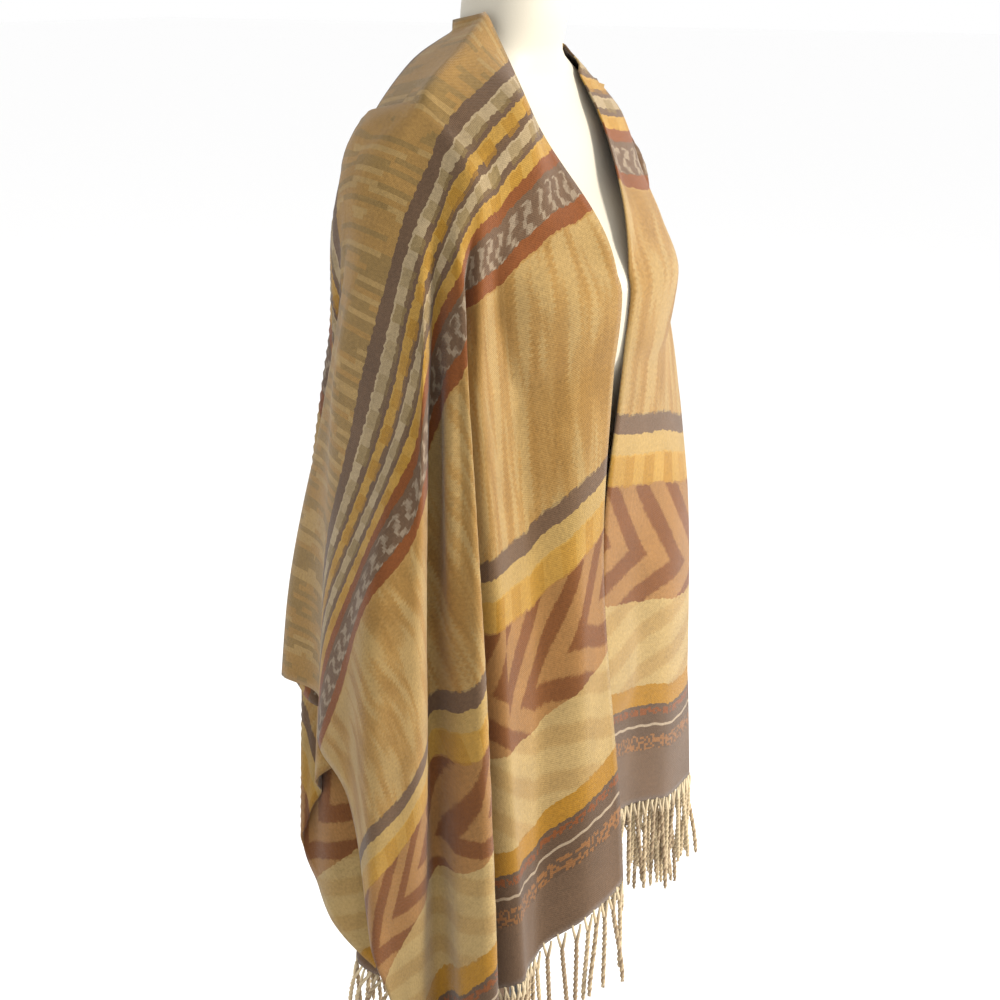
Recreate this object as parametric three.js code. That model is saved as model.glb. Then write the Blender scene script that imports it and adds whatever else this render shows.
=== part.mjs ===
// A ruana: one woven rectangle with a slit, draped on a limbless dress form that stands on a pole.
// Millimetres, +Z up, the form faces -Y and its right shoulder is at -X. The floor is z = 0.
import * as THREE from 'three';

// ---- the woven rectangle, laid flat -------------------------------------------------
const HALF_WIDTH = 705;      // u: from the slit line out to the selvedge
const FRONT_LENGTH = 950;    // v: from the back end of the slit to the front hem
const BACK_LENGTH = 856;     // and to the back hem: the slit runs 47 mm past the middle
const FRINGE = 110;          // reach of the fringe beyond each hem
const WALL = 1.6;            // thickness of the cloth solid
const FRINGE_WALL = 1.0;     // thickness of the fringe solid
const SEAM = 0.3;            // gap between neighbouring pieces
const HEM_GAP = 2.8;         // gap between a hem and its fringe
const SLIT_GAP = 1.6;        // each slit edge off the middle where the slit ends
const TIP_U = 120;           // where the shoulder tip lies in the cloth, from the slit line
const TIP_V = { right: 72, left: 152 };      // and how far in front of the end of the slit
const NECK_V = { right: 50, left: 98 };      // the same where the shoulder line meets the slit

// ---- the dress form: level rings ----------------------------------------------------
// Each ring: its height, half width, depth in front of and behind its middle, the y of that
// middle, and how square it is (2 is an ellipse).
const FORM_COLUMNS = ['z', 'half', 'front', 'back', 'mid', 'square'];
const FORM_RINGS = table(FORM_COLUMNS, [
  [745, 152, 98, 100, -12, 2.1],
  [770, 160, 104, 108, -12, 2.1],
  [830, 160, 108, 110, -12, 2.1],
  [900, 146, 104, 102, -12, 2.1],
  [980, 120, 94, 86, -12, 2.1],
  [1040, 116, 92, 84, -12, 2.1],
  [1100, 132, 108, 90, -13, 2.1],
  [1150, 148, 126, 98, -14, 2.1],
  [1205, 160, 131, 104, -14, 2.15],
  [1255, 168, 104, 103, -12, 2.15],
  [1305, 172, 72, 92, -5, 2.15],
  [1350, 164, 56, 80, 1, 2.1],
  [1378, 140, 46, 72, 6, 2.05],
  [1400, 100, 41, 63, 8, 2.0],
  [1420, 63, 42, 52, 8, 2.0],
  [1438, 55, 46, 50, 6, 2.0],
  [1456, 53, 50, 51, 5, 2.0],
  [1476, 51, 51, 50, 4, 2.0],
  [1530, 49, 50, 49, 2, 2.0],
]);
const NECK_TOP = 1530;
const FORM_BOTTOM = 745;
const CAP = { radius: 47, height: 14 };
const SOCKET = { radius: 21, height: 30 };
const POLE_RADIUS = 11;
const BASE = { radius: 165, height: 12, edge: 3 };

// ---- the folds ----------------------------------------------------------------------
// Every fold is a rib that starts at the shoulder tip and hangs. The distance along the cloth
// from the tip is the reach; the plan place of each rib is given at four reaches. The turn is
// the direction of the rib in the flat cloth: 90 runs to the front hem, 0 to the side
// selvedge, -90 to the back hem. Both halves are written for x < 0; the left is mirrored.
const REACH = [0, 110, 290, 530, 850, 1180, 1330];
const FOLD_COLUMNS = ['name', 'turn290', 'turn530', 'turn850', 'at110', 'at290', 'at530', 'at850'];
const RIGHT_FOLDS = table(FOLD_COLUMNS, [
  ['front lip', 75, 83, 86, [-164, -68], [-178, -74], [-176, -96], [-160, -106]],
  ['knife pleat', 64, 72, 74, [-170, -64], [-180, -40], [-192, -30], [-186, -36]],
  ['near ridge', 52, 54, 64, [-180, -52], [-212, -86], [-222, -104], [-222, -112]],
  ['deep valley', 36, 48, 57, [-186, -36], [-212, -44], [-232, -52], [-236, -58]],
  ['bulge edge', 28, 40, 52, [-192, -26], [-245, -60], [-278, -76], [-262, -46]],
  ['crest', 18, 28, 44, [-197, -10], [-243, -33], [-304, -32], [-284, -18]],
  ['side edge', -2, 8, 20, [-203, 20], [-220, 62], [-264, 52], [-282, 62]],
  ['side back', -14, -12, -12, [-202, 38], [-188, 88], [-206, 131], [-218, 146]],
  ['back valley', -28, -27, -27, [-195, 56], [-170, 86], [-174, 70], [-181, 78]],
  ['back ridge', -43, -45, -47, [-187, 70], [-150, 121], [-150, 160], [-154, 176]],
  ['mid valley', -54, -56, -58, [-172, 80], [-118, 98], [-118, 84], [-122, 70]],
  ['mid ridge', -66, -69, -71, [-152, 90], [-105, 138], [-84, 162], [-76, 156]],
  ['inner valley', -79, -80, -80, [-130, 92], [-70, 104], [-62, 112], [-60, 100]],
]);
const LEFT_FOLDS = table(FOLD_COLUMNS, [
  ['front lip', 76, 82, 84, [-162, -46], [-172, -80], [-182, -100], [-200, -98]],
  ['knife pleat', 66, 71, 74, [-176, -46], [-178, -36], [-188, -38], [-204, -36]],
  ['near ridge', 52, 57, 68, [-184, -42], [-210, -60], [-230, -60], [-246, -56]],
  ['deep valley', 40, 46, 55, [-190, -32], [-200, -20], [-224, -4], [-236, 16]],
  ['bulge edge', 29, 34, 44, [-194, -24], [-238, -38], [-266, -34], [-278, 2]],
  ['crest', 16, 22, 32, [-197, -10], [-256, 0], [-292, 10], [-292, 28]],
  ['side edge', -3, 4, 10, [-199, 14], [-222, 66], [-262, 84], [-262, 88]],
  ['side back', -15, -13, -13, [-196, 32], [-186, 102], [-202, 136], [-205, 145]],
  ['back valley', -27, -27, -27, [-189, 46], [-160, 82], [-174, 70], [-178, 78]],
  ['back ridge', -41, -43, -44, [-180, 56], [-150, 130], [-146, 158], [-148, 166]],
  ['mid valley', -53, -55, -56, [-166, 64], [-116, 96], [-118, 86], [-122, 78]],
  ['mid ridge', -65, -68, -71, [-148, 72], [-104, 140], [-86, 168], [-82, 168]],
  ['inner valley', -78, -79, -80, [-126, 76], [-68, 104], [-60, 112], [-58, 102]],
]);
// Ribs between the slit line and the shoulder tip start along the top of the shoulder.
const RIB_COLUMNS = ['u', 'start', 'at110', 'at290', 'at530', 'at850'];
const RIGHT_FRONT_RIBS = table(RIB_COLUMNS, [
  [0, [-60, -4, 1458], [-78, -66], [-44, -138], [-50, -130], [-46, -154]],
  [60, [-106, -8, 1428], [-112, -86], [-90, -112], [-90, -130], [-90, -142]],
  [120, [-160, -4, 1386], [-146, -72], [-130, -78], [-128, -100], [-130, -104]],
]);
const LEFT_FRONT_RIBS = table(RIB_COLUMNS, [
  [0, [-64, -8, 1428], [-40, -74], [34, -143], [40, -123], [6, -116]],
  [60, [-104, -6, 1400], [-94, -58], [-30, -136], [-20, -124], [-54, -106]],
  [120, [-154, 0, 1374], [-146, -46], [-98, -116], [-86, -134], [-116, -116]],
]);
const BACK_RIBS = table(RIB_COLUMNS, [
  [120, [-160, -4, 1386], [-119, 92], [-72, 128], [-46, 152], [-38, 164]],
  [60, [-106, -8, 1428], [-65, 91], [-36, 116], [-28, 132], [-26, 138]],
  [0, [-60, -4, 1458], [0, 80], [0, 112], [0, 124], [0, 126]],
]);

// ---- how finely the pieces are divided, and the room left between them ---------------
const CELLS_ACROSS = 20;     // cells from the slit line to a selvedge
const CELLS_DOWN = 28;       // cells from the shoulder line to a hem
const CELLS_FRINGE = 2;      // cells down the fringe
const REST_GAP = 3.4;        // middle of the cloth's wall off the form
const EDGE_FEEL = 30;        // how far past an edge the cloth is felt for its lean
const MOST_LEAN = 0.85;      // limit of the extra thickness allowed at a sharp fold
const NECK_EASE = { from: 1385, over: 25, extra: 4 };   // more room round the neck
const REACH_STEP = 10;       // spacing of the sheet of ribs: along a rib,
const TURN_STEP = 2;         // between ribs round the shoulder tip, in degrees,
const U_STEP = 10;           // and between ribs along the top of the shoulder

// ---- materials ----------------------------------------------------------------------
const camelWool = new THREE.MeshStandardMaterial({ color: 0xd3ab63, roughness: 0.9, metalness: 0 });
const creamFringe = new THREE.MeshStandardMaterial({ color: 0xdcc9a4, roughness: 0.9, metalness: 0 });
const creamForm = new THREE.MeshStandardMaterial({ color: 0xf1ece0, roughness: 0.55, metalness: 0 });
const blackSteel = new THREE.MeshStandardMaterial({ color: 0x1b1a19, roughness: 0.4, metalness: 0.6 });

// ---- small helpers ------------------------------------------------------------------
function table(columns, rows) {
  return rows.map((row) => Object.fromEntries(columns.map((name, k) => [name, row[k]])));
}

function lerp(a, b, t) {
  return a + (b - a) * t;
}

// Smooth curve through knots that never swings past them (monotone cubic).
function smoothCurve(xs, ys) {
  const last = xs.length - 1;
  const step = [];
  const slope = [];
  for (let i = 0; i < last; i += 1) {
    step.push(xs[i + 1] - xs[i]);
    slope.push((ys[i + 1] - ys[i]) / step[i]);
  }
  const tangent = ys.map((_, i) => {
    if (i === 0) return slope[0];
    if (i === last) return slope[last - 1];
    if (slope[i - 1] * slope[i] <= 0) return 0;
    const before = 2 * step[i] + step[i - 1];
    const after = step[i] + 2 * step[i - 1];
    return (before + after) / (before / slope[i - 1] + after / slope[i]);
  });
  return (x) => {
    let i = 0;
    while (i < last - 1 && x > xs[i + 1]) i += 1;
    const t = Math.min(1, Math.max(0, (x - xs[i]) / step[i]));
    const s = 1 - t;
    return ys[i] * (1 + 2 * t) * s * s + ys[i + 1] * (3 - 2 * t) * t * t
      + step[i] * (tangent[i] * t * s * s - tangent[i + 1] * s * t * t);
  };
}

// ---- the dress form -----------------------------------------------------------------
const formCurve = {};
for (const name of ['half', 'front', 'back', 'mid', 'square']) {
  formCurve[name] = smoothCurve(FORM_RINGS.map((r) => r.z), FORM_RINGS.map((r) => r[name]));
}

function ringAt(z) {
  const level = Math.min(NECK_TOP, Math.max(FORM_BOTTOM, z));
  return {
    half: formCurve.half(level),
    front: formCurve.front(level),
    back: formCurve.back(level),
    mid: formCurve.mid(level),
    square: formCurve.square(level),
  };
}

// Move a point straight out from the middle of the form until it clears the ring at its height.
function clearForm([x, y, z], gap) {
  if (z < FORM_BOTTOM - 20 || z > NECK_TOP) return [x, y, z];
  const ring = ringAt(z);
  const depth = y < ring.mid ? ring.front : ring.back;
  const across = (Math.abs(x) / ring.half) ** ring.square;
  const along = (Math.abs(y - ring.mid) / depth) ** ring.square;
  const share = (across + along) ** (1 / ring.square);
  const need = 1 + gap / Math.min(ring.half, depth);
  if (share >= need) return [x, y, z];
  const grow = need / Math.max(share, 0.05);
  return [x * grow, ring.mid + (y - ring.mid) * grow, z];
}

function formBody(around, levels) {
  const points = [];
  for (const z of levels) {
    const ring = ringAt(z);
    for (let k = 0; k < around; k += 1) {
      const angle = (2 * Math.PI * k) / around;
      const c = Math.cos(angle);
      const s = Math.sin(angle);
      const size = (Math.abs(c) ** ring.square + Math.abs(s) ** ring.square) ** (-1 / ring.square);
      const depth = s < 0 ? ring.front : ring.back;
      points.push([ring.half * c * size, ring.mid + depth * s * size, z]);
    }
  }
  const faces = [];
  const rows = levels.length;
  for (let i = 0; i < rows - 1; i += 1) {
    for (let k = 0; k < around; k += 1) {
      const a = i * around + k;
      const b = i * around + ((k + 1) % around);
      faces.push([a, b, b + around], [a, b + around, a + around]);
    }
  }
  const low = points.length;
  points.push([0, ringAt(levels[0]).mid, levels[0]]);
  points.push([0, ringAt(levels[rows - 1]).mid, levels[rows - 1]]);
  const top = (rows - 1) * around;
  for (let k = 0; k < around; k += 1) {
    const next = (k + 1) % around;
    faces.push([low, next, k], [low + 1, top + k, top + next]);
  }
  return meshOf(points, faces);
}

// ---- the drape ----------------------------------------------------------------------
// One half of the cloth as a sheet of ribs: rows are reaches, columns run from the slit edge at
// the front, round the shoulder tip, to the middle of the back.
function drapeHalf(folds, frontRibs, backRibs) {
  const planAt = (start, row) => {
    const stops = [start, row.at110, row.at290, row.at530, row.at850];
    const before = stops[3];
    const end = stops[4];
    stops.push([end[0] + (end[0] - before[0]) * 0.6, end[1] + (end[1] - before[1]) * 0.6]);
    stops.push(stops[5]);
    return [0, 1].map((k) => smoothCurve(REACH, stops.map((p) => p[k])));
  };
  const tip = frontRibs[frontRibs.length - 1].start;
  const frontPlans = frontRibs.map((r) => planAt(r.start, r));
  const backPlans = backRibs.map((r) => planAt(r.start, r));
  const foldPlans = folds.map((r) => planAt(tip, r));
  const foldTurns = folds.map((r) => smoothCurve(
    REACH,
    [r.turn290, r.turn290, r.turn290, r.turn530, r.turn850, r.turn850, r.turn850],
  ));
  const columns = [];
  for (let u = 0; u <= TIP_U; u += U_STEP) columns.push({ side: 'front', u });
  for (let turn = 90; turn >= -90; turn -= TURN_STEP) columns.push({ side: 'fan', turn });
  for (let u = TIP_U; u >= 0; u -= U_STEP) columns.push({ side: 'back', u });
  const startOf = (column) => {
    if (column.side === 'fan') return tip[2];
    return smoothCurve(frontRibs.map((r) => r.u), frontRibs.map((r) => r.start[2]))(column.u);
  };
  const heights = columns.map(startOf);
  const rows = [];
  const lastReach = REACH[REACH.length - 1];
  for (let reach = 0; reach <= lastReach; reach += REACH_STEP) {
    const spread = Math.max(reach, 30);
    const stations = [];
    const plans = [];
    frontRibs.forEach((r, k) => {
      stations.push(r.u);
      plans.push(frontPlans[k]);
    });
    folds.forEach((r, k) => {
      stations.push(TIP_U + THREE.MathUtils.degToRad(90 - foldTurns[k](reach)) * spread);
      plans.push(foldPlans[k]);
    });
    backRibs.forEach((r, k) => {
      stations.push(TIP_U + Math.PI * spread + TIP_U - r.u);
      plans.push(backPlans[k]);
    });
    const curves = [0, 1].map((k) => smoothCurve(stations, plans.map((p) => p[k](reach))));
    const above = rows[rows.length - 1];
    rows.push(columns.map((column, j) => {
      let station = column.u;
      if (column.side === 'fan') station = TIP_U + THREE.MathUtils.degToRad(90 - column.turn) * spread;
      if (column.side === 'back') station = TIP_U + Math.PI * spread + TIP_U - column.u;
      const x = curves[0](station);
      const y = curves[1](station);
      if (above) {
        const run = Math.hypot(x - above[j][0], y - above[j][1]);
        heights[j] -= Math.sqrt(Math.max(REACH_STEP ** 2 - run ** 2, 4));
      }
      return [x, y, heights[j]];
    }));
  }
  const perSide = TIP_U / U_STEP + 1;
  const perFan = 180 / TURN_STEP + 1;
  return { rows, perSide, perFan };
}

// Place of the flat point (u, v) in the draped half.
// Behind the left shoulder line the spare length beside the neck is gathered in.
function drapedPoint(half, tipV, neckV, u, v) {
  const out = Math.min(1, u / TIP_U);
  const shoulder = lerp(neckV, tipV, out);
  const spare = (neckV - NECK_V.right) * (1 - out)
    * THREE.MathUtils.smoothstep(shoulder - v, 0, neckV);
  const { rows, perSide, perFan } = half;
  let reach;
  let column;
  let lastColumn;
  if (u < TIP_U) {
    reach = v >= shoulder ? v - shoulder : shoulder - v - spare;
    column = v >= shoulder ? u / U_STEP : perSide + perFan + (TIP_U - u) / U_STEP;
    lastColumn = v >= shoulder ? perSide - 1 : 2 * perSide + perFan - 1;
  } else {
    reach = Math.hypot(u - TIP_U, v - tipV);
    const turn = THREE.MathUtils.radToDeg(Math.atan2(v - tipV, Math.max(u - TIP_U, 1e-6)));
    column = perSide + (90 - turn) / TURN_STEP;
    lastColumn = perSide + perFan - 1;
  }
  const row = Math.min(reach / REACH_STEP, rows.length - 1.001);
  const i = Math.floor(row);
  const j = Math.min(Math.floor(column), lastColumn - 1);
  const point = [0, 1, 2].map((k) => lerp(
    lerp(rows[i][j][k], rows[i + 1][j][k], row - i),
    lerp(rows[i][j + 1][k], rows[i + 1][j + 1][k], row - i),
    column - j,
  ));
  const ease = Math.min(1, Math.max(0, (point[2] - NECK_EASE.from) / NECK_EASE.over));
  return clearForm(point, REST_GAP + NECK_EASE.extra * ease);
}

const rightHalf = drapeHalf(RIGHT_FOLDS, RIGHT_FRONT_RIBS, BACK_RIBS);
const leftHalf = drapeHalf(LEFT_FOLDS, LEFT_FRONT_RIBS, BACK_RIBS);

// The side is 1 for the form's right half and -1 for its left; u is counted out from the slit.
// In front of the shoulder line the two slit edges are held a little apart.
function clothPoint(side, u, v) {
  const half = side > 0 ? rightHalf : leftHalf;
  const end = side > 0 ? 'right' : 'left';
  const [x, y, z] = drapedPoint(half, TIP_V[end], NECK_V[end], u, v);
  const apart = v > 0 ? SLIT_GAP : 0;
  return [side * (x - apart), y, z];
}

// ---- solids -------------------------------------------------------------------------
function meshOf(points, faces) {
  const geometry = new THREE.BufferGeometry();
  geometry.setAttribute('position', new THREE.Float32BufferAttribute(points.flat(), 3));
  geometry.setIndex(faces.flat());
  geometry.computeVertexNormals();
  return geometry;
}

function stations(from, to, cells) {
  return Array.from({ length: cells + 1 }, (_, k) => lerp(from, to, k / cells));
}

// A thin closed solid on the grid of stations us by vs. The side is 1 or -1 for a piece on one
// half of the form, and 0 for a piece that spans both, where u < 0 is the left half.
function clothSolid(side, us, vs, wall) {
  const across = us.length;
  const down = vs.length;
  const spot = (u, v) => {
    if (side || u) return new THREE.Vector3(...clothPoint(side || Math.sign(u), Math.abs(u), v));
    const seam = [1, 2].map((k) => (clothPoint(1, 0, v)[k] + clothPoint(-1, 0, v)[k]) / 2);
    return new THREE.Vector3(...clearForm([0, ...seam], REST_GAP + NECK_EASE.extra));
  };
  // One more row of cloth is felt beyond each end, so that pieces that meet lean the same way.
  const felt = [vs[0] - EDGE_FEEL, ...vs, vs[down - 1] + EDGE_FEEL];
  const sheet = us.map((u) => felt.map((v) => spot(u, v)));
  const flats = us.slice(1).map((_, i) => felt.slice(1).map((__, j) => {
    const across1 = sheet[i + 1][j].clone().sub(sheet[i][j]);
    const across2 = sheet[i + 1][j + 1].clone().sub(sheet[i][j + 1]);
    const down1 = sheet[i][j + 1].clone().sub(sheet[i][j]);
    const down2 = sheet[i + 1][j + 1].clone().sub(sheet[i + 1][j]);
    return across1.add(across2).cross(down1.add(down2)).normalize();
  }));
  const front = [];
  const back = [];
  for (let i = 0; i < across; i += 1) {
    for (let j = 0; j < down; j += 1) {
      const normal = new THREE.Vector3();
      let count = 0;
      for (const a of [i - 1, i]) {
        for (const b of [j, j + 1]) {
          if (flats[a]) {
            normal.add(flats[a][b]);
            count += 1;
          }
        }
      }
      const lean = Math.max(normal.length() / count, MOST_LEAN);
      normal.normalize().multiplyScalar(wall / 2 / lean);
      front.push(sheet[i][j + 1].clone().add(normal).toArray());
      back.push(sheet[i][j + 1].clone().sub(normal).toArray());
    }
  }
  // Each cell is split along the diagonal that lies nearer the cloth, so the splits follow the
  // folds.
  const faces = [];
  const other = across * down;
  const at = (i, j) => i * down + j;
  for (let i = 0; i < across - 1; i += 1) {
    for (let j = 0; j < down - 1; j += 1) {
      const corners = [at(i, j), at(i + 1, j), at(i + 1, j + 1), at(i, j + 1)];
      const centre = spot((us[i] + us[i + 1]) / 2, (vs[j] + vs[j + 1]) / 2);
      const rising = sheet[i][j + 1].clone().lerp(sheet[i + 1][j + 2], 0.5);
      const falling = sheet[i + 1][j + 1].clone().lerp(sheet[i][j + 2], 0.5);
      const swap = falling.distanceTo(centre) < rising.distanceTo(centre) ? 1 : 0;
      const [a, b, c, d] = corners.map((_, k) => corners[(k + swap) % 4]);
      faces.push([a, b, c], [a, c, d]);
      faces.push([a + other, c + other, b + other], [a + other, d + other, c + other]);
    }
  }
  const rim = [];
  for (let i = 0; i < across - 1; i += 1) rim.push(at(i, 0));
  for (let j = 0; j < down - 1; j += 1) rim.push(at(across - 1, j));
  for (let i = across - 1; i > 0; i -= 1) rim.push(at(i, down - 1));
  for (let j = down - 1; j > 0; j -= 1) rim.push(at(0, j));
  rim.forEach((a, k) => {
    const b = rim[(k + 1) % rim.length];
    faces.push([a, a + other, b + other], [a, b + other, b]);
  });
  return meshOf([...front, ...back], faces);
}

function turned(profile, segments) {
  const geometry = new THREE.LatheGeometry(profile.map((p) => new THREE.Vector2(...p)), segments);
  return geometry.rotateX(Math.PI / 2);
}

function rod(radius, low, high, segments) {
  return turned([[0, low], [radius, low], [radius, high], [0, high]], segments);
}

const group = new THREE.Group();
function add(name, geometry, material) {
  const mesh = new THREE.Mesh(geometry, material.clone());
  mesh.name = name;
  group.add(mesh);
}

// ---- build --------------------------------------------------------------------------
const acrossHalf = stations(0, HALF_WIDTH, CELLS_ACROSS);
const acrossLeft = stations(-HALF_WIDTH, 0, CELLS_ACROSS);
const acrossAll = stations(-HALF_WIDTH, HALF_WIDTH, 2 * CELLS_ACROSS);
const downFront = stations(SEAM / 2, FRONT_LENGTH, CELLS_DOWN);
const downBack = stations(-BACK_LENGTH, -SEAM / 2, CELLS_DOWN);
const fringeFront = stations(FRONT_LENGTH + HEM_GAP, FRONT_LENGTH + FRINGE, CELLS_FRINGE);
const fringeBack = stations(-BACK_LENGTH - FRINGE, -BACK_LENGTH - HEM_GAP, CELLS_FRINGE);

add('right_front_panel', clothSolid(1, acrossHalf, downFront, WALL), camelWool);
add('left_front_panel', clothSolid(-1, acrossLeft, downFront, WALL), camelWool);
add('back_panel', clothSolid(0, acrossAll, downBack, WALL), camelWool);
add('right_front_fringe', clothSolid(1, acrossHalf, fringeFront, FRINGE_WALL), creamFringe);
add('left_front_fringe', clothSolid(-1, acrossLeft, fringeFront, FRINGE_WALL), creamFringe);
add('back_fringe', clothSolid(0, acrossAll, fringeBack, FRINGE_WALL), creamFringe);

const formLevels = stations(0, 1, 26).map((t) => lerp(FORM_BOTTOM, NECK_TOP, t));
add('dress_form', formBody(48, formLevels), creamForm);
const capLow = NECK_TOP + SEAM;
const capHigh = capLow + CAP.height;
add('neck_cap', turned([[0, capLow], [CAP.radius, capLow], [CAP.radius, capHigh - 3],
  [CAP.radius - 3, capHigh], [0, capHigh]], 40), blackSteel);
const socketLow = FORM_BOTTOM - SEAM - SOCKET.height;
add('pole_socket', rod(SOCKET.radius, socketLow, FORM_BOTTOM - SEAM, 32), blackSteel);
add('pole', rod(POLE_RADIUS, BASE.height + SEAM, socketLow - SEAM, 28), blackSteel);
add('base_plate', turned([[0, 0], [BASE.radius, 0], [BASE.radius, BASE.height - BASE.edge],
  [BASE.radius - BASE.edge, BASE.height], [0, BASE.height]], 56), blackSteel);

export default group;
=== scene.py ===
# %% [markdown]
# # A ruana on a dress form
# A ruana is one woven rectangle with a slit from the middle of one end to its centre. It has no
# seams: it lies over both shoulders and hangs. This file dresses the plain solids of the packed
# model with a fine cloth, its woven pattern, its twisted fringe, the smooth form and the stand.
# Everything is in metres in the frame of the packed model: +Z up, the form faces -Y, and its
# right shoulder is at -X.

# %% Load the packed model
import math

import bpy
import numpy as np
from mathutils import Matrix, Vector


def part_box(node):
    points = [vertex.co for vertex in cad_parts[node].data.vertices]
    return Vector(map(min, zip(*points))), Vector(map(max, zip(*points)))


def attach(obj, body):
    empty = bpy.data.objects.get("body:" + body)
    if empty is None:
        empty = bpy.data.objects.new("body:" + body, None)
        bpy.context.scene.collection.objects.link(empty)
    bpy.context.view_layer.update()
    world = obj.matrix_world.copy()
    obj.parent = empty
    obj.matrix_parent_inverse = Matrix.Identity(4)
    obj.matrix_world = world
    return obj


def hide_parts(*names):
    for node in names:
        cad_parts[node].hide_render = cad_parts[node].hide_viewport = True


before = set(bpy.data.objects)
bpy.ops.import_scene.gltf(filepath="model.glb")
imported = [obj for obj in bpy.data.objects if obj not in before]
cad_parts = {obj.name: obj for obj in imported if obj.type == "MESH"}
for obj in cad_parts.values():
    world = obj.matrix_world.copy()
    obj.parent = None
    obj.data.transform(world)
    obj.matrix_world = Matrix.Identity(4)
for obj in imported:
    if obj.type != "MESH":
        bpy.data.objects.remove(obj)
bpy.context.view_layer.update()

print("nodes:", sorted(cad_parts))

# %% [markdown]
# ## Sizes
# The flat cloth is measured out from the slit (u) and along from the inner end of the slit (v,
# plus in front, minus behind). All lengths below repeat the sizes of the packed model.

# %% Sizes of the flat cloth
HALF_WIDTH = 0.705
FRONT_LENGTH = 0.950
BACK_LENGTH = 0.856
HALF_LENGTH = (FRONT_LENGTH + BACK_LENGTH) / 2
MIDDLE_V = FRONT_LENGTH - HALF_LENGTH
FRINGE = 0.110
CLOTH_WALL = 0.0016
TIP_U = 0.120
NECK_V = {1: 0.050, -1: 0.098}
TIP_V = {1: 0.072, -1: 0.152}
SLIT_GAP = 0.0012
REST_GAP = 0.0030
NECK_EASE = {"from": 1.385, "over": 0.025, "extra": 0.0035}
MM = 0.001
print(f"flat cloth: {2 * HALF_WIDTH:.3f} x {2 * HALF_LENGTH:.3f} m, slit {FRONT_LENGTH:.3f} m")

# %% [markdown]
# ## Helpers for curves and meshes
# A garment is easiest to draw as a few stations with a smooth curve between them. Blender's own
# curves could carry the stations too, but a monotone cubic in numpy never swings past a station,
# so a fold never bulges where none was drawn.

# %% Smooth curve
def smooth_curve(knots, values, at):
    """Monotone cubic: between two knots the value is a blend of the two values and of the two
    slopes, and a knot where the slopes change sign gets slope nought."""
    x = np.asarray(knots, float)
    y = np.asarray(values, float)
    flat = y.ndim == 1
    y = y.reshape(len(x), -1)
    step = np.diff(x)[:, None]
    slope = np.diff(y, axis=0) / step
    before = 2 * step[1:] + step[:-1]
    after = step[1:] + 2 * step[:-1]
    same = slope[:-1] * slope[1:] > 0
    low, high = np.where(same, slope[:-1], 1.0), np.where(same, slope[1:], 1.0)
    inner = np.where(same, (before + after) / (before / low + after / high), 0.0)
    tangent = np.vstack([slope[:1], inner, slope[-1:]])
    at = np.asarray(at, float)
    where = at.ravel()
    i = np.clip(np.searchsorted(x, where, side="right") - 1, 0, len(x) - 2)
    t = np.clip((where - x[i]) / step[i, 0], 0, 1)[:, None]
    s = 1 - t
    out = (y[i] * (1 + 2 * t) * s * s + y[i + 1] * (3 - 2 * t) * t * t
           + step[i] * (tangent[i] * t * s * s - tangent[i + 1] * s * t * t))
    return out.reshape(at.shape) if flat else out.reshape(at.shape + (y.shape[1],))


def ease(x, low, high):
    """Nought below low, one above high, and a smooth cubic between."""
    t = np.clip((x - low) / (high - low), 0, 1)
    return t * t * (3 - 2 * t)


print("a curve through 0, 1 and 4, read between them:", smooth_curve([0, 1, 2], [0, 1, 4], [0.5, 1.5]))


# %% Mesh from arrays
def grid_faces(rows, columns, start=0, wrap=False):
    """Corner numbers of the four-sided cells of a grid whose points are stored row by row."""
    i = np.arange(rows - 1)[:, None]
    j = np.arange(columns if wrap else columns - 1)[None, :]
    right = (j + 1) % columns
    cell = [i * columns + j, i * columns + right, (i + 1) * columns + right, (i + 1) * columns + j]
    return np.stack([np.broadcast_to(c, (rows - 1, j.size)) for c in cell], -1).reshape(-1, 4) + start


def make_piece(name, points, faces, material, nodes):
    """A mesh object from an array of points and lists of corner numbers, riding on the body."""
    mesh = bpy.data.meshes.new(name)
    corners = [list(map(int, face)) for face in faces]
    mesh.from_pydata(np.asarray(points).reshape(-1, 3).tolist(), [], corners)
    mesh.materials.append(material)
    mesh.polygons.foreach_set("use_smooth", np.full(len(mesh.polygons), True))
    mesh.update()
    piece = bpy.data.objects.new(name, mesh)
    bpy.context.collection.objects.link(piece)
    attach(piece, "root")
    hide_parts(*nodes)
    print(f"{name}: {len(mesh.vertices)} points, {len(mesh.polygons)} faces")
    return piece


def write_uv(mesh, name, uv):
    """Stores one pair of numbers for each point of the mesh as a UV map."""
    corner = np.zeros(len(mesh.loops), int)
    mesh.loops.foreach_get("vertex_index", corner)
    layer = mesh.uv_layers.new(name=name)
    layer.data.foreach_set("uv", np.asarray(uv, np.float32).reshape(-1, 2)[corner].ravel())


print("cells of a grid of 3 by 3 points:", len(grid_faces(3, 3)))

# %% [markdown]
# ## The dress form
# The form is a stack of level rings, a little squarer than an ellipse, from the hips to the neck.
# It could be sculpted, but rings worked out from a short table keep its sizes and let the cloth
# ask, at any height, where the form's surface is.

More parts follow.
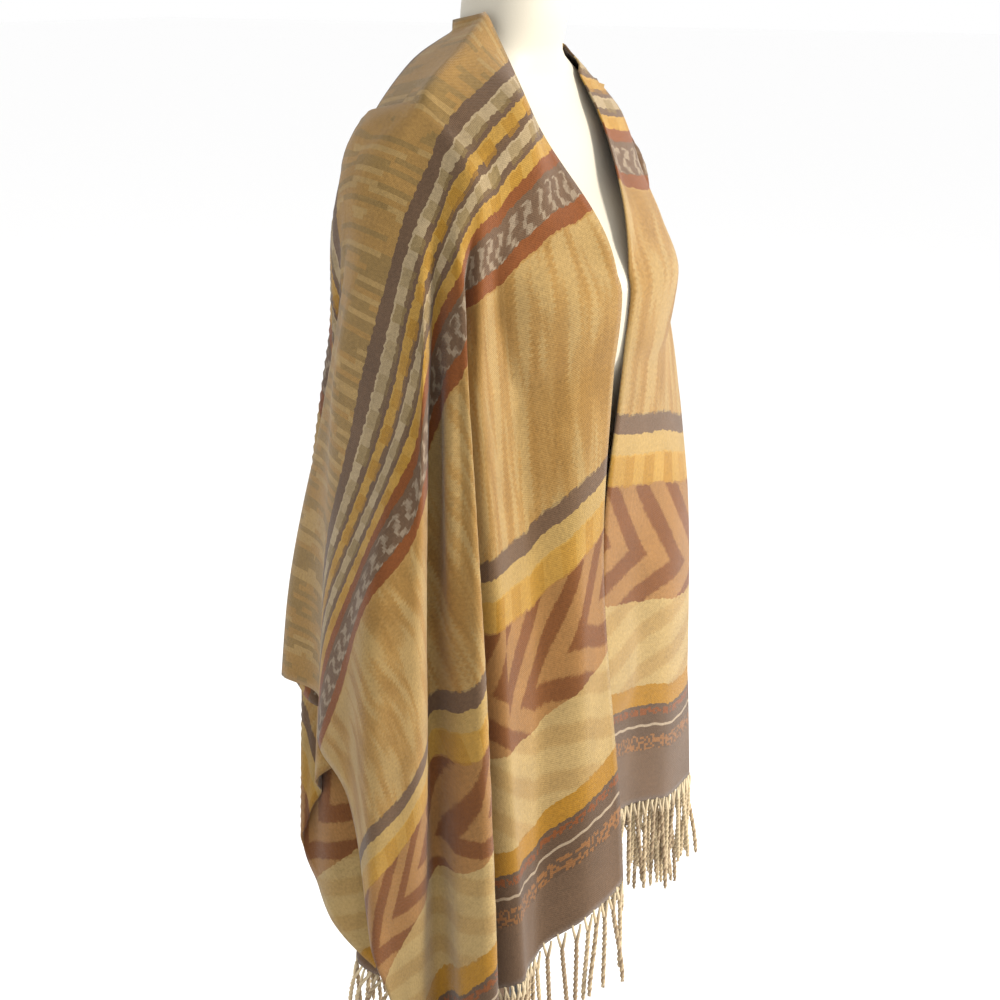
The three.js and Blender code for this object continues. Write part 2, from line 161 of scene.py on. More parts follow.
# %% Rings of the form
# height, half width, depth in front, depth behind, middle y, squareness (lengths in mm)
FORM_RINGS = np.array([
    [745, 152, 98, 100, -12, 2.1],
    [770, 160, 104, 108, -12, 2.1],
    [830, 160, 108, 110, -12, 2.1],
    [900, 146, 104, 102, -12, 2.1],
    [980, 120, 94, 86, -12, 2.1],
    [1040, 116, 92, 84, -12, 2.1],
    [1100, 132, 108, 90, -13, 2.1],
    [1150, 148, 126, 98, -14, 2.1],
    [1205, 160, 131, 104, -14, 2.15],
    [1255, 168, 104, 103, -12, 2.15],
    [1305, 172, 72, 92, -5, 2.15],
    [1350, 164, 56, 80, 1, 2.1],
    [1378, 140, 46, 72, 6, 2.05],
    [1400, 100, 41, 63, 8, 2.0],
    [1420, 63, 42, 52, 8, 2.0],
    [1438, 55, 46, 50, 6, 2.0],
    [1456, 53, 50, 51, 5, 2.0],
    [1476, 51, 51, 50, 4, 2.0],
    [1530, 49, 50, 49, 2, 2.0],
])
FORM_RINGS[:, :5] *= MM
FORM_BOTTOM, NECK_TOP = FORM_RINGS[0, 0], FORM_RINGS[-1, 0]
print(f"form: {len(FORM_RINGS)} rings from {FORM_BOTTOM:.3f} to {NECK_TOP:.3f} m")

# %% Where the form's surface is
UNDER_FORM = 0.02

def ring_at(z):
    """The five sizes of the ring at each height z, as arrays of z's shape."""
    level = np.clip(z, FORM_BOTTOM, NECK_TOP)
    sizes = smooth_curve(FORM_RINGS[:, 0], FORM_RINGS[:, 1:], level)
    return [sizes[..., k] for k in range(5)]


def clear_form(points, gap):
    """Each point nearer the form than gap moves straight out from the form's middle. How far out
    a point is comes from (|x| / half width)^n + (|y| / depth)^n, which is one on the ring."""
    x, y, z = points[..., 0], points[..., 1], points[..., 2]
    half, front, back, mid, n = ring_at(z)
    depth = np.where(y < mid, front, back)
    share = ((np.abs(x) / half) ** n + (np.abs(y - mid) / depth) ** n) ** (1 / n)
    need = 1 + gap / np.minimum(half, depth)
    near = (share < need) & (z > FORM_BOTTOM - UNDER_FORM) & (z < NECK_TOP)
    grow = np.where(near, need / np.maximum(share, 0.05), 1.0)
    return np.stack([x * grow, mid + (y - mid) * grow, z], -1)


print("half width at the bust:", ring_at(np.array([1.205]))[0])

# %% [markdown]
# ## The folds
# Cloth hangs from the shoulder tip in ribs. A rib keeps its length: where it swings out or in,
# it drops less. So each fold is one row: the direction of its rib in the flat cloth (the turn)
# and where it passes in plan at four distances along it. Blender's cloth simulation could find
# folds of its own, but they would not be these folds in these places.

# %% Tables of folds
REACH = np.array([0, 110, 290, 530, 850, 1180, 1330]) * MM
# turn at 290, 530 and 850 mm, then x and y at 110, 290, 530 and 850 mm
RIGHT_FOLDS = {
    "front lip": (75, 83, 86, (-164, -68), (-178, -74), (-176, -96), (-160, -106)),
    "knife pleat": (64, 72, 74, (-170, -64), (-180, -40), (-192, -30), (-186, -36)),
    "near ridge": (52, 54, 64, (-180, -52), (-212, -86), (-222, -104), (-222, -112)),
    "deep valley": (36, 48, 57, (-186, -36), (-212, -44), (-232, -52), (-236, -58)),
    "bulge edge": (28, 40, 52, (-192, -26), (-245, -60), (-278, -76), (-262, -46)),
    "crest": (18, 28, 44, (-197, -10), (-243, -33), (-304, -32), (-284, -18)),
    "side edge": (-2, 8, 20, (-203, 20), (-220, 62), (-264, 52), (-282, 62)),
    "side back": (-14, -12, -12, (-202, 38), (-188, 88), (-206, 131), (-218, 146)),
    "back valley": (-28, -27, -27, (-195, 56), (-170, 86), (-174, 70), (-181, 78)),
    "back ridge": (-43, -45, -47, (-187, 70), (-150, 121), (-150, 160), (-154, 176)),
    "mid valley": (-54, -56, -58, (-172, 80), (-118, 98), (-118, 84), (-122, 70)),
    "mid ridge": (-66, -69, -71, (-152, 90), (-105, 138), (-84, 162), (-76, 156)),
    "inner valley": (-79, -80, -80, (-130, 92), (-70, 104), (-62, 112), (-60, 100)),
}
LEFT_FOLDS = {
    "front lip": (76, 82, 84, (-162, -46), (-172, -80), (-182, -100), (-200, -98)),
    "knife pleat": (66, 71, 74, (-176, -46), (-178, -36), (-188, -38), (-204, -36)),
    "near ridge": (52, 57, 68, (-184, -42), (-210, -60), (-230, -60), (-246, -56)),
    "deep valley": (40, 46, 55, (-190, -32), (-200, -20), (-224, -4), (-236, 16)),
    "bulge edge": (29, 34, 44, (-194, -24), (-238, -38), (-266, -34), (-278, 2)),
    "crest": (16, 22, 32, (-197, -10), (-256, 0), (-292, 10), (-292, 28)),
    "side edge": (-3, 4, 10, (-199, 14), (-222, 66), (-262, 84), (-262, 88)),
    "side back": (-15, -13, -13, (-196, 32), (-186, 102), (-202, 136), (-205, 145)),
    "back valley": (-27, -27, -27, (-189, 46), (-160, 82), (-174, 70), (-178, 78)),
    "back ridge": (-41, -43, -44, (-180, 56), (-150, 130), (-146, 158), (-148, 166)),
    "mid valley": (-53, -55, -56, (-166, 64), (-116, 96), (-118, 86), (-122, 78)),
    "mid ridge": (-65, -68, -71, (-148, 72), (-104, 140), (-86, 168), (-82, 168)),
    "inner valley": (-78, -79, -80, (-126, 76), (-68, 104), (-60, 112), (-58, 102)),
}
# ribs that start along the top of the shoulder: u, where they start, then the same four places
RIGHT_FRONT_RIBS = [
    (0, (-60, -4, 1458), (-78, -66), (-44, -138), (-50, -130), (-46, -154)),
    (60, (-106, -8, 1428), (-112, -86), (-90, -112), (-90, -130), (-90, -142)),
    (120, (-160, -4, 1386), (-146, -72), (-130, -78), (-128, -100), (-130, -104)),
]
LEFT_FRONT_RIBS = [
    (0, (-64, -8, 1428), (-40, -74), (34, -143), (40, -123), (6, -116)),
    (60, (-104, -6, 1400), (-94, -58), (-30, -136), (-20, -124), (-54, -106)),
    (120, (-154, 0, 1374), (-146, -46), (-98, -116), (-86, -134), (-116, -116)),
]
BACK_RIBS = [
    (120, (-160, -4, 1386), (-119, 92), (-72, 128), (-46, 152), (-38, 164)),
    (60, (-106, -8, 1428), (-65, 91), (-36, 116), (-28, 132), (-26, 138)),
    (0, (-60, -4, 1458), (0, 80), (0, 112), (0, 124), (0, 126)),
]
print("large folds of a half:", len(RIGHT_FOLDS))

# %% [markdown]
# ## Small folds take up the spare width
# The ribs above stand closer together than they do in the flat cloth, and cloth doesn't shrink.
# On the real garment the spare width goes into smaller folds between the large ones. Each row of
# these tables is a crest (up to 1) or a trough (down to -1), placed unevenly. The width that is
# left over says how high a fold can stand, and the table says how much of that it gets. Only some
# of these folds are real ones: the rest take up length that the large folds leave over, and
# without them the sheet is much smaller than its flat size. A simulation would keep them apart.
# These aren't, and where the large folds lie close, mostly behind, they cross.

# %% Tables of small folds
# place, counted in ribs from the front lip (0) to the middle of the back (15), and height
RIGHT_PLEATS = np.array([
    [-3.0, 0.0], [-0.6, 0.0], [0.3, 0.20], [1.0, -0.50], [1.7, 0.15], [2.4, 0.70],
    [2.85, -0.80], [3.5, 0.10], [4.4, -0.12],
    [4.8, 0.12], [5.3, -0.14], [5.7, 0.10], [6.4, -0.35], [6.9, 0.15], [7.45, -0.85], [7.8, 0.55],
    [8.2, -0.70], [8.5, 0.70], [8.75, -0.45], [9.1, 0.55], [9.4, -0.50], [9.8, 0.70], [10.2, -0.95],
    [10.6, 0.90], [11.0, -0.75], [11.35, 0.95], [11.8, -0.90], [12.3, 0.85], [12.7, -0.90],
    [13.1, 0.80], [13.5, -0.95], [14.0, 0.90], [14.5, -0.70], [15.0, 0.75],
])
LEFT_PLEATS = np.array([
    [-3.0, 0.0], [-0.6, 0.0], [0.2, 0.30], [0.9, -0.75], [1.45, 0.80], [1.9, -0.85],
    [2.3, 0.90], [2.75, -0.95],
    [3.2, 0.80], [3.6, -0.95], [4.0, 0.90], [4.4, -0.90], [4.85, 0.60], [5.3, -0.80], [5.8, 0.85],
    [6.25, -0.85], [6.7, 0.90], [7.2, -0.95], [7.65, 0.70], [8.1, -0.75], [8.45, 0.80],
    [8.8, -0.80], [9.2, 0.85], [9.55, -0.80], [9.9, 0.75], [10.25, -0.90], [10.65, 0.90],
    [11.05, -0.80], [11.4, 0.90], [11.85, -0.90], [12.3, 0.85], [12.7, -0.90], [13.1, 0.80],
    [13.5, -0.95], [14.0, 0.90], [14.5, -0.70], [15.0, 0.75],
])

print("small folds:", len(RIGHT_PLEATS), "right,", len(LEFT_PLEATS), "left")

# %% Steps and limits of the sheet
REACH_STEP = 0.005
TURN_STEP = 0.4
U_STEP = 0.002
FRONT_RIBS = 3
LEAST_SPREAD = 0.03
RIB_END = 0.6
LEAST_DROP = 0.2
SHARE_WINDOW, WAY_WINDOW = 12, 9
LEAST_SHARE = 0.15
FOLD_START, FOLD_FULL = 0.09, 0.34
BEND_ROOM = 0.6


def hang(xy, start):
    """Heights under a plan: from row to row a rib drops sqrt(step^2 - plan step^2), so that it
    keeps its length, and never less than a small share of the step."""
    run = np.hypot(*np.moveaxis(np.diff(xy, axis=0), -1, 0))
    drop = np.sqrt(np.maximum(REACH_STEP ** 2 - run ** 2, (LEAST_DROP * REACH_STEP) ** 2))
    return np.dstack([xy, start - np.vstack([np.zeros_like(start), np.cumsum(drop, 0)])])


def running_mean(rows, half):
    """The mean of each place and its neighbours along a row, from differences of running sums."""
    padded = np.pad(rows, ((0, 0), (half + 1, half)), mode="edge")
    total = np.cumsum(padded, 1)
    return (total[:, 2 * half + 1:] - total[:, :-2 * half - 1]) / (2 * half + 1)


print("steps along a rib:", round(REACH[-1] / REACH_STEP))


# %% Height of the small folds
def spare_height(xy, start, along, stations, pleats):
    """A fold whose side is w wide in the flat cloth, and whose ribs stand at a share c of their
    flat spacing, is half of w * sqrt(1 - c^2) high: Pythagoras on the fold's side."""
    order = np.arange(stations.shape[1]) - FRONT_RIBS
    places, heights = pleats.T
    middles = (places[1:] + places[:-1]) / 2
    number = np.stack([np.interp(a, s, order) for a, s in zip(along, stations)])
    sides = np.stack([np.diff(np.interp(places, order, s)) for s in stations])
    side = np.stack([np.interp(n, middles, w) for n, w in zip(number, sides)])
    spacing = np.linalg.norm(np.gradient(hang(xy, start), axis=1), axis=2)
    flat_spacing = running_mean(np.gradient(along, axis=1), SHARE_WINDOW)
    share = running_mean(spacing, SHARE_WINDOW) / flat_spacing
    spare = np.sqrt(1 - np.clip(share, LEAST_SHARE, 1.0) ** 2)
    return smooth_curve(places, heights, number) * side / 2 * spare


def add_pleats(xy, start, along, stations, pleats, reach):
    """Each plan point moves square to its row by the fold's height h. Where the row bends with
    curvature k, h is lowered to h / sqrt(1 + (h * k / BEND_ROOM)^2), because a fold higher than
    the bend's radius would cross itself. That lessens the crossings and doesn't end them."""
    height = spare_height(xy, start, along, stations, pleats)
    height *= ease(reach, FOLD_START, FOLD_FULL)[:, None]
    way = np.gradient(xy, axis=1)
    way = np.stack([running_mean(way[..., k], WAY_WINDOW) for k in (0, 1)], -1)
    way /= np.linalg.norm(way, axis=2, keepdims=True) + 1e-9
    step = np.linalg.norm(np.gradient(xy, axis=1), axis=2) + 1e-9
    bend = running_mean(np.linalg.norm(np.gradient(way, axis=1), axis=2) / step, WAY_WINDOW)
    height = height / np.sqrt(1 + (height * bend / BEND_ROOM) ** 2)
    return xy + height[..., None] * np.stack([-way[..., 1], way[..., 0]], -1)


print("room for a fold in a bend:", BEND_ROOM, "of its radius")

# %% [markdown]
# ## The sheet of ribs
# Each half of the cloth hangs in ribs: straight ones from the ridge of the shoulder, then a fan
# round the shoulder tip. The places between the ribs could be left to a subdivision surface, but
# that would pull the folds flat. A curve through the ribs of each row goes through all of them.

# %% Plan and hang of one half
def rib_plan(start, places, reach):
    """Plan places along one rib: a smooth curve through its start and its four places, which
    then goes on the way it was going."""
    stops = np.array([start[:2], *places], float)
    end = stops[-1] + (stops[-1] - stops[-2]) * RIB_END
    return smooth_curve(REACH, np.vstack([stops, end, end]) * MM, reach)


def row_places(front, fan, behind, spread):
    """Flat distances along each row: out to the shoulder tip, round the fan by its angle times
    the distance from the tip, and in again to the middle of the back."""
    return np.hstack([
        np.broadcast_to(front[None], (len(spread), front.size)),
        TIP_U + fan * spread,
        TIP_U + np.pi * spread + behind,
    ])


def drape_half(folds, front_ribs, back_ribs, pleats):
    """Rows are distances along the ribs. In each row the plan place runs on a smooth curve
    through the ribs, by arc from the slit, round the shoulder tip, to the middle of the back."""
    reach = np.arange(0, REACH[-1] + REACH_STEP / 2, REACH_STEP)
    spread = np.maximum(reach, LEAST_SPREAD)[:, None]
    tip = front_ribs[-1][1]
    plans = np.stack([rib_plan(start, places, reach) for _, start, *places in front_ribs]
                     + [rib_plan(tip, places, reach) for _, _, _, *places in folds.values()]
                     + [rib_plan(start, places, reach) for _, start, *places in back_ribs], 1)
    turns = np.stack([smooth_curve(REACH, [a, a, a, b, c, c, c], reach)
                      for a, b, c, *_ in folds.values()], 1)
    front_u, back_u = (np.array([rib[0] for rib in ribs]) * MM for ribs in (front_ribs, back_ribs))
    edge_u = np.arange(0, TIP_U + U_STEP / 2, U_STEP)
    fan = np.radians(np.arange(0, 180 + TURN_STEP / 2, TURN_STEP))
    stations = row_places(front_u, np.radians(90 - turns), TIP_U - back_u, spread)
    along = row_places(edge_u, fan, edge_u, spread)
    xy = np.stack([smooth_curve(stations[k], plans[k], along[k]) for k in range(len(reach))])
    ridge = smooth_curve(front_u, [rib[1][2] * MM for rib in front_ribs], edge_u)
    start = np.concatenate([ridge, np.full(fan.size, tip[2] * MM), ridge[::-1]])
    sheet = hang(add_pleats(xy, start, along, stations, pleats, reach), start)
    return sheet, edge_u.size, fan.size


halves = {
    1: drape_half(RIGHT_FOLDS, RIGHT_FRONT_RIBS, BACK_RIBS, RIGHT_PLEATS),
    -1: drape_half(LEFT_FOLDS, LEFT_FRONT_RIBS, BACK_RIBS, LEFT_PLEATS),
}
print("rows and places in a row:", halves[1][0].shape[:2])


# %% From flat cloth to draped cloth
def draped_points(half, side, u, v):
    """Where the flat points (u, v) of one half lie. Out to the shoulder tip a rib is a line of
    equal u; beyond it the ribs fan out from the tip, by turn and distance from it."""
    sheet, side_count, fan_count = half
    tip_v, neck_v = TIP_V[side], NECK_V[side]
    out = np.minimum(1, u / TIP_U)
    shoulder = neck_v + (tip_v - neck_v) * out
    spare = (neck_v - NECK_V[1]) * (1 - out) * ease(shoulder - v, 0, neck_v)
    inner = u < TIP_U
    forward = v >= shoulder
    turn = np.degrees(np.arctan2(v - tip_v, np.maximum(u - TIP_U, 1e-9)))
    behind = side_count + fan_count + (TIP_U - u) / U_STEP
    column = np.where(inner, np.where(forward, u / U_STEP, behind), side_count + (90 - turn) / TURN_STEP)
    last = np.where(inner, np.where(forward, side_count, 2 * side_count + fan_count) - 1,
                    side_count + fan_count - 1)
    straight = np.where(forward, v - shoulder, shoulder - v - spare)
    reach = np.where(inner, straight, np.hypot(u - TIP_U, v - tip_v))
    row = np.minimum(reach / REACH_STEP, len(sheet) - 1.001)
    i = np.floor(row).astype(int)
    j = np.minimum(np.floor(column).astype(int), last - 1)
    a, b = (row - i)[..., None], (column - j)[..., None]
    upper = sheet[i, j] * (1 - b) + sheet[i, j + 1] * b
    lower = sheet[i + 1, j] * (1 - b) + sheet[i + 1, j + 1] * b
    return upper * (1 - a) + lower * a


def cloth_points(side, u, v):
    """The middle of the cloth at flat points: side 1 is the form's right half, -1 its left."""
    points = draped_points(halves[side], side, u, v)
    neck_from = NECK_EASE["from"]
    neck = ease(points[..., 2], neck_from, neck_from + NECK_EASE["over"])
    points = clear_form(points, REST_GAP + NECK_EASE["extra"] * neck)
    apart = np.where(v > 0, SLIT_GAP, 0.0)
    points[..., 0] = side * (points[..., 0] - apart)
    return points


corner = cloth_points(1, np.array([HALF_WIDTH]), np.array([FRONT_LENGTH]))
print("lower front corner of the right half:", np.round(corner[0], 3))

# %% [markdown]
# ## Shader arithmetic
# A woven pattern is arithmetic on the two flat coordinates. Written as plain Python expressions
# it reads like a weaver's draft; the small class below turns each operator into a Math node.

# %% Screen colours
def rgb(red, green, blue):
    """A screen colour, 0 to 255, as the linear colour that the shader works in."""
    value = np.array([red, green, blue]) / 255
    return (*np.where(value <= 0.04045, value / 12.92, ((value + 0.055) / 1.055) ** 2.4), 1.0)


print("a screen grey of 128 in linear light:", round(float(rgb(128, 128, 128)[0]), 3))


# %% One material and its nodes
class Shade:
    """One material. Its methods add nodes, and the last one makes the surface."""

    def __init__(self, name):
        self.material = bpy.data.materials.new(name)
        self.material.use_nodes = True
        self.nodes = self.material.node_tree.nodes
        self.links = self.material.node_tree.links
        self.nodes.clear()

    def node(self, kind, settings=None, inputs=None, out=0):
        """Adds a node: first its settings, then the values or links of its sockets."""
        made = self.nodes.new("ShaderNode" + kind)
        for key, value in (settings or {}).items():
            if key == "stops":
                ramp = made.color_ramp
                while len(ramp.elements) > 1:
                    ramp.elements.remove(ramp.elements[-1])
                for k, (place, colour) in enumerate(value):
                    stop = ramp.elements[0] if k == 0 else ramp.elements.new(place)
                    stop.position = place
                    stop.color = colour
            elif key == "interpolation":
                made.color_ramp.interpolation = value
            else:
                setattr(made, key, value)
        for key, value in (inputs or {}).items():
            socket = made.inputs[key]
            if isinstance(value, Field):
                value = value.socket
            if isinstance(value, bpy.types.NodeSocket):
                self.links.new(value, socket)
            else:
                socket.default_value = value
        return made if out is None else made.outputs[out]

    def field(self, kind, settings=None, inputs=None, out=0):
        return Field(self, self.node(kind, settings, inputs, out))

    def mix(self, first, second, factor):
        """first where the factor is nought, second where it is one."""
        return self.node("Mix", {"data_type": "RGBA"}, {0: factor, 6: first, 7: second}, out=2)

    def tint(self, colour, amount):
        """The colour multiplied by a grey amount."""
        grey = self.node("CombineColor", None, {0: amount, 1: amount, 2: amount})
        return self.node("Mix", {"data_type": "RGBA", "blend_type": "MULTIPLY"},
                         {0: 1.0, 6: colour, 7: grey}, out=2)

    def pack(self, x, y, z=0.0):
        return self.node("CombineXYZ", None, {0: x, 1: y, 2: z})

    def noise(self, vector, scale, detail=2.0, rough=0.5):
        return self.field("TexNoise", {"noise_dimensions": "3D"},
                          {"Vector": vector, "Scale": scale, "Detail": detail, "Roughness": rough})

    def chance(self, x, y=0.0, z=0.0):
        """A random number from nought to one for each place, the same each time."""
        place = {"Vector": self.pack(x, y, z)}
        return self.field("TexWhiteNoise", {"noise_dimensions": "3D"}, place)

    def surface(self, base, roughness, normal=None, **constants):
        """The finished surface. The constants go straight on the shader's own sockets."""
        inputs = {"Base Color": base, "Roughness": roughness}
        inputs.update({key.replace("_", " "): value for key, value in constants.items()})
        if normal is not None:
            inputs["Normal"] = normal
        shader = self.node("BsdfPrincipled", None, inputs)
        self.node("OutputMaterial", None, {"Surface": shader}, out=None)
        return self.material

    def bump(self, height, distance, strength):
        inputs = {"Height": height, "Distance": distance, "Strength": strength}
        return self.node("Bump", None, inputs)


print("helpers of a material:", [name for name in vars(Shade) if not name.startswith("_")])


# %% Numbers that change over a surface
class Field:
    """A number that changes over the surface. Operators on it add Math nodes."""

    def __init__(self, shade, socket):
        self.shade, self.socket = shade, socket

    def math(self, operation, *others, first=None):
        values = [self if first is None else first, *others]
        inputs = dict(enumerate(values))
        return self.shade.field("Math", {"operation": operation}, inputs)

    def __add__(self, other): return self.math("ADD", other)
    def __radd__(self, other): return self.math("ADD", other)
    def __sub__(self, other): return self.math("SUBTRACT", other)
    def __rsub__(self, other): return self.math("SUBTRACT", self, first=other)
    def __mul__(self, other): return self.math("MULTIPLY", other)
    def __rmul__(self, other): return self.math("MULTIPLY", other)
    def __truediv__(self, other): return self.math("DIVIDE", other)
    def __rtruediv__(self, other): return self.math("DIVIDE", self, first=other)
    def __gt__(self, other): return self.math("GREATER_THAN", other)
    def __lt__(self, other): return self.math("LESS_THAN", other)
    def floor(self): return self.math("FLOOR")
    def part(self): return self.math("FRACT")
    def size(self): return self.math("ABSOLUTE")
    def wave(self): return self.math("SINE")
    def low(self, other): return self.math("MINIMUM", other)
    def between(self, low, high): return (self > low) * (self < high)
    def soft(self, low, high):
        """Nought below low and one above high, smooth between."""
        return self.shade.field("MapRange", {"interpolation_type": "SMOOTHSTEP"},
                                {"Value": self, "From Min": low, "From Max": high})


print("methods of a field:", len([name for name in vars(Field) if callable(getattr(Field, name))]))

# %% [markdown]
# ## The woven cloth
# The cloth is a fine brushed wool, woven in bands across its length. Each band's edges are
# distances from the hem. A picture of the cloth would blur close to, so the pattern is charted
# by rule. Both coordinates are rounded down to whole threads, about 2 mm wide, so every slanted
# edge is stepped, and the distance from the hem wavers a little first, as a beaten weft does.

# %% Yarn colours and bands
CAMEL = rgb(216, 168, 94)
CAMEL_DARK = rgb(200, 150, 76)
CREAM = rgb(234, 198, 130)
PALE = rgb(232, 204, 158)
STRAW = rgb(230, 190, 114)
OLIVE = rgb(178, 148, 90)
GOLD = rgb(216, 156, 44)
GOLD_LIGHT = rgb(238, 186, 88)
RUST = rgb(170, 98, 46)
TAN = rgb(204, 148, 84)
BROWN = rgb(160, 98, 46)
TAUPE = rgb(142, 110, 82)
TAUPE_DEEP = rgb(128, 98, 72)
STONE = rgb(206, 182, 152)
CHALK = rgb(222, 196, 164)
OCHRE = rgb(196, 134, 76)

# each band's first distance from the hem in mm, and its ground colour
BANDS = [
    (0, TAUPE), (65, TAUPE_DEEP), (120, GOLD), (146, CREAM), (250, TAN), (375, GOLD_LIGHT),
    (408, STRAW), (430, TAUPE), (449, CAMEL), (686, RUST), (703.5, TAUPE), (737.5, RUST),
    (753, GOLD_LIGHT), (766.5, TAUPE), (773.5, PALE), (787.5, TAUPE), (794.5, GOLD_LIGHT),
    (808.5, TAUPE), (815.5, PALE), (830.5, TAUPE), (846, CAMEL),
]
# rows of checks: their two edges in mm, the darker yarn, and a check's width in metres
CHECKS = [
    (753, 766.5, GOLD, 0.0165), (773.5, 787.5, OLIVE, 0.0165), (794.5, 808.5, GOLD, 0.0165),
    (815.5, 830.5, OLIVE, 0.0165), (375, 408, GOLD, 0.0185),
]
THREAD = 0.0021
FIELD_LOW, FIELD_HIGH = 0.449, 0.686
UPPER_LOW = 0.846
print("bands from hem to middle:", len(BANDS))

# %% [markdown]
# ## Places on the flat cloth
# The cloth carries its own flat coordinates as a UV map, so the pattern bends with every fold.
# Object coordinates would be simpler, but they would cut straight through the folds.

# %% Flat coordinates in the shader
WAVER = 0.006


def flat_places(shade):
    """s across and t along in metres from the middle of the cloth, e as s in whole threads, h
    the distance from the nearer hem, and p as h, wavering and in whole threads."""
    place = shade.node("SeparateXYZ", None, {0: shade.node("UVMap", {"uv_map": "flat"})}, out=None)
    s = (Field(shade, place.outputs[0]) - 0.5) * 2.0
    t = (Field(shade, place.outputs[1]) - 0.5) * 2.0
    e = (s / THREAD).floor() * THREAD
    h = HALF_LENGTH - t.size()
    waver = (shade.noise(shade.pack(s * 170.0, t * 120.0, 2.0), 1.0, 1.0, 0.5) - 0.5) * WAVER
    p = ((h + waver) / THREAD).floor() * THREAD + THREAD / 2
    return s, t, e, h, p


def ground_bands(shade, p):
    """The ground colour of each band, from a ramp with hard stops."""
    stops = [(low * MM / HALF_LENGTH, colour) for low, colour in BANDS]
    return shade.node("ValToRGB", {"interpolation": "CONSTANT", "stops": stops},
                      {0: p / HALF_LENGTH})


print("thread:", THREAD, "m")

# %% [markdown]
# ## Streaks and dashes of the two camel fields
# On the real cloth uneven yarn leaves long soft streaks in the wide field and thin dashes above
# it. Both are laid over the ground as a mix, with noise stretched along the yarn.

# %% The camel fields
def camel_streaks(shade, colour, s, t, e, h, p):
    """Long soft lengths of lighter and darker yarn, with combed edges."""
    comb = ((p / 0.0064).part() - 0.5).size() * 0.007
    streak = shade.noise(shade.pack((s + comb) * 62.0, p * 6.5, 3.0), 1.0, 2.0, 0.55)
    field = p.between(FIELD_LOW, FIELD_HIGH)
    colour = shade.mix(colour, CREAM, field * streak.soft(0.47, 0.56) * 0.62)
    return shade.mix(colour, CAMEL_DARK, field * (1.0 - streak.soft(0.38, 0.47)) * 0.75)


def upper_dashes(shade, colour, s, t, e, h, p):
    """Thin dashes laid along the length, some dark and some light."""
    line = (s / 0.0052).floor()
    dash = ((t.size() / 0.046) + shade.chance(line, 2.0) * 7.0).floor()
    luck = shade.chance(line, dash)
    upper = (p > UPPER_LOW) * 1.0
    colour = shade.mix(colour, OLIVE, upper * (luck < 0.30) * 0.62)
    return shade.mix(colour, CREAM, upper * (luck > 0.74) * 0.55)


print("field:", round(FIELD_HIGH - FIELD_LOW, 3), "m deep")

# %% [markdown]
# ## Checks and flames of the shoulder band
# The gold and pale rows are checked, every other check darker by chance. Between the two rust
# stripes pale flames lean to and fro on taupe. A chart of squares could hold both, but the
# fractional part of a number repeats them with no chart.

# %% Checks and flames
def checks(shade, colour, s, t, e, h, p):
    """A check is darker where the number of its cell is odd, and by how much is by chance."""
    for row, (low, high, dark, width) in enumerate(CHECKS):
        cell = (e / width + 0.37 * row).floor()
        luck = shade.chance(cell, float(row), 5.0)
        odd = (cell / 2.0).part() > 0.25
        mask = p.between(low * MM, high * MM) * (odd * 0.50 + luck * 0.30)
        colour = shade.mix(colour, dark, mask)
    return colour


def flames(shade, colour, s, t, e, h, p):
    """Pale upright zigzags with soft uneven edges, in seven steps of height."""
    rise = ((p - 0.7035) / 0.034 * 7.0).floor() / 7.0
    sway = ((rise * 1.5).part() - 0.5).size()
    lick = shade.noise(shade.pack(e * 120.0, p * 55.0, 9.0), 1.0, 1.0, 0.5)
    flame = ((e / 0.019 + sway * 1.1 + lick * 0.9).part() - 0.25).size()
    pale = (1.0 - flame.soft(0.08, 0.27)) * p.between(0.7055, 0.7355)
    return shade.mix(colour, STONE, pale * 0.85)


print("rows of checks:", len(CHECKS))

# %% [markdown]
# ## Nested corners and the border
# The widest band holds nested corners that point away from the slit. Each is the lower of two
# slanted distances, cut into rings. The border by the hem has a rust edge, a fine pale line and
# a row of ochre flecks.

# %% Corners and border
REPEAT, RING = 0.190, 0.043
CORNER_AT = 0.300
LINE_AT = 0.098


def nested_corners(shade, colour, s, t, e, h, p):
    """Brown rings on tan, and lower down faint ones on cream."""
    worn = shade.noise(shade.pack(s * 260.0, p * 260.0, 6.0), 1.0, 1.0, 0.5) * 0.006
    toward = (0.5 - (e.size() / REPEAT + 0.08).part()) * REPEAT + worn
    above = p - CORNER_AT
    climb = (toward * 0.79 - above * 0.62).low(toward * 0.45 + above * 0.89)
    ring = ((climb / RING).part() - 0.25).size()
    colour = shade.mix(colour, BROWN, (1.0 - ring.soft(0.20, 0.28)) * p.between(0.250, 0.375))
    faint = (1.0 - ring.soft(0.16, 0.30)) * p.between(0.146, 0.250)
    return shade.mix(colour, CAMEL_DARK, faint * 0.40)


def border(shade, colour, s, t, e, h, p):
    """A broken rust edge, a pale line and a row of ochre flecks."""
    speck = shade.chance((s / 0.003).floor(), (h / 0.003).floor(), 1.0)
    colour = shade.mix(colour, RUST, p.between(0.112, 0.120) * (speck > 0.35))
    line_at = LINE_AT + (e * 300.0).wave() * 0.0006
    colour = shade.mix(colour, CHALK, ((h - line_at).size() < 0.0016) * 1.0)
    return shade.mix(colour, OCHRE, p.between(0.068, 0.086) * (speck > 0.55) * 0.85)


print("corners repeat every", REPEAT, "m")

# %% [markdown]
# ## Heather, twill and nap
# Brushed wool isn't one flat colour: each yarn is a little lighter or darker, the twill makes
# fine slanting ribs, and the nap roughens both. Colour noise gives the first, and one bump gives
# the others. The soft sheen is a constant on the shader itself.

